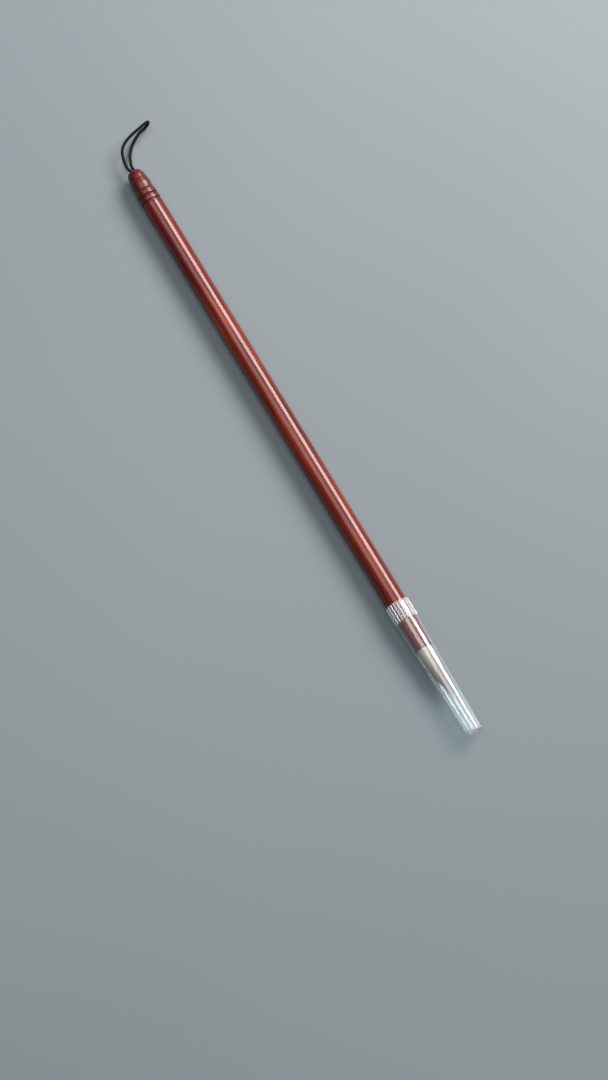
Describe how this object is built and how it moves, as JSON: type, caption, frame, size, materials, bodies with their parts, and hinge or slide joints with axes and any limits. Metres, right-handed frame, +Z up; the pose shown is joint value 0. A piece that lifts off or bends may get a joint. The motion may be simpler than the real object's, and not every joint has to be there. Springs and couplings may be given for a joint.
{
  "type": "calligraphy brush",
  "caption": "Slim turned wooden writing brush with a pointed hair tuft, a clear push-on travel cap with a fluted collar, and a black cord loop for hanging.",
  "frame": {"origin": "on the surface that the brush lies on, below the middle of the length of handle and cap", "axes": "+X along the handle, towards the tuft and the cap; +Z up from the surface; +Y to the side that the hanging loop lies to"},
  "size_m": [0.2676, 0.0203, 0.0094],
  "materials": {
    "shaft_wood": "clear gloss lacquer over red-brown rosewood",
    "finial_wood": "clear gloss lacquer over red-brown rosewood",
    "cord": "waxed braided cord",
    "glue": "set glue",
    "cover_hair": "fine straight animal hair",
    "padding_hair": "fine straight animal hair",
    "core_hair": "stiff brown animal hair",
    "thread": "twisted thread",
    "resin": "melted resin",
    "clear_plastic": "clear moulded, glossy"
  },
  "bodies": {
    "handle": {"handle_shaft": "shaft_wood", "tail_finial": "finial_wood", "tenon_glue": "glue", "cord_knot": "cord", "tuft_cover_hair": "cover_hair", "tuft_padding_hair": "padding_hair", "tuft_core_hair": "core_hair", "tuft_binding_thread": "thread", "tuft_root_resin": "resin", "socket_glue": "glue"},
    "cap": {"brush_cap": "clear_plastic"},
    "loop": {"hanging_loop": "cord"}
  },
  "joints": [
    {"name": "cap_slide", "type": "slide", "parent": "handle", "child": "cap", "axis": [1, 0, 0], "range_m": [0, 0.06]},
    {"name": "loop_swing", "type": "hinge", "parent": "handle", "child": "loop", "pos_m": [-0.12635, 0, 0.0047], "axis": [0, 0, 1], "range_deg": [-30, 50]}
  ]
}
